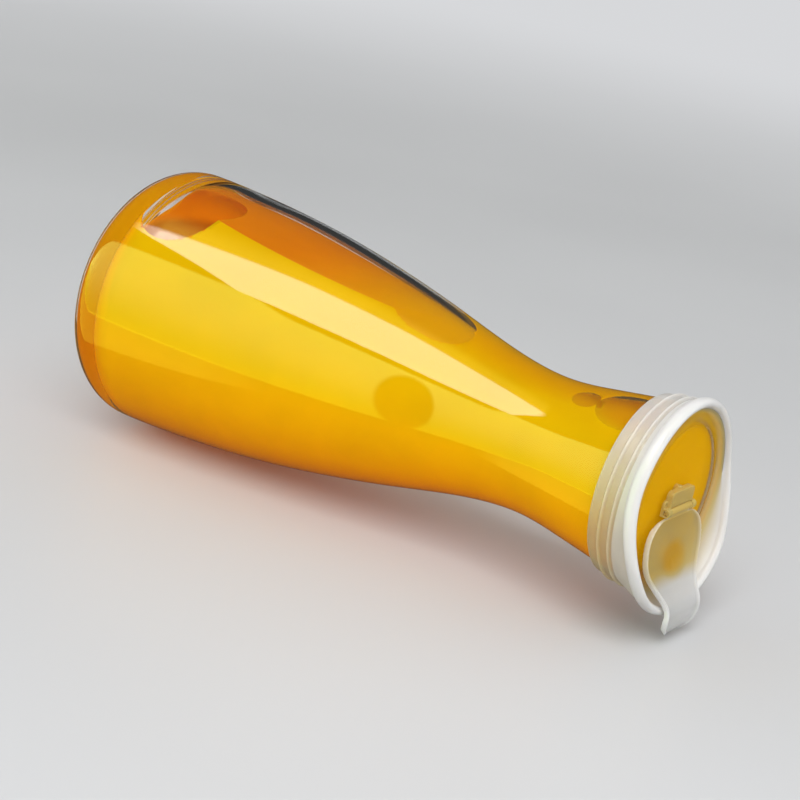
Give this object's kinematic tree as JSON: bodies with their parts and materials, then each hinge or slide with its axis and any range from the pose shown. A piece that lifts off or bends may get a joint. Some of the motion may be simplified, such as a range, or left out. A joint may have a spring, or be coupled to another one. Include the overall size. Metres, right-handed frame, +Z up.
{
  "type": "serving carafe",
  "caption": "Waisted clear-glass carafe with a thick rounded base, a soft press-on lid with a raised pouring visor, and a leaf-shaped flap that pivots over the pouring hole.",
  "frame": {"origin": "centre of the ring the bottle stands on, in the plane of that ring", "axes": "+Z up the bottle's axis towards the mouth, -Y towards the tip of the pour flap and the raised visor, +X along the flap's pivot"},
  "size_m": [0.1074, 0.1074, 0.2702],
  "materials": {
    "clear_glass": "clear, fire polished",
    "milky_plastic": "translucent, milky, satin",
    "yellow_drink": "clear yellow liquid inside the bottle"
  },
  "bodies": {
    "bottle": {"glass_bottle": "clear_glass"},
    "lid": {"lid": "milky_plastic", "hinge_block": "milky_plastic"},
    "flap": {"pour_flap": "milky_plastic"}
  },
  "joints": [
    {"name": "lid_pull", "type": "slide", "parent": "bottle", "child": "lid", "axis": [0, 0, 1], "range_m": [0, 0.04]},
    {"name": "flap_pivot", "type": "hinge", "parent": "lid", "child": "flap", "pos_m": [0, -0.003, 0.2582], "axis": [-1, 0, 0], "range_deg": [0, 135]}
  ]
}
